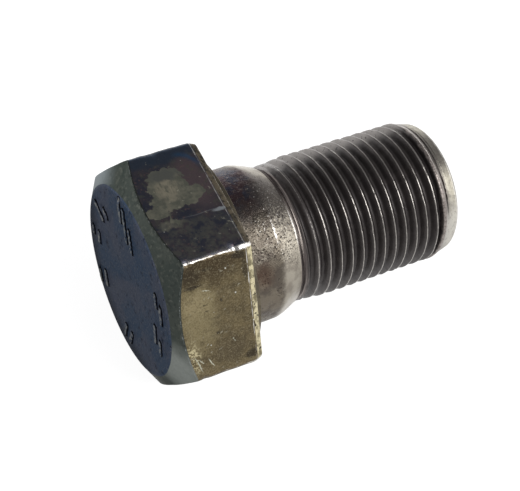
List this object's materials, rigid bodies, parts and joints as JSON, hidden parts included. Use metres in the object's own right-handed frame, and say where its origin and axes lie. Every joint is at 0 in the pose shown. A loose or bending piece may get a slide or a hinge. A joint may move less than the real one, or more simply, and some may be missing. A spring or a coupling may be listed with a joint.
{
  "type": "hex bolt",
  "caption": "Hex-headed bolt with a plain shoulder, a necked shank, a right-handed fine thread and a chamfered point.",
  "frame": {"origin": "centre of the head's outer flat face, on the bolt's axis", "axes": "+X runs along the bolt's axis from the head to the point; +Z is the outward normal of one spanner flat; Y completes the right-handed frame and points at a corner of the hexagon"},
  "size_m": [0.041, 0.03, 0.0262],
  "materials": {
    "forged_steel": "blackened, heat-treated steel with brown and blue temper colours on the head and bright worn edges"
  },
  "bodies": {
    "root": {"hex_bolt": "forged_steel"}
  },
  "joints": []
}
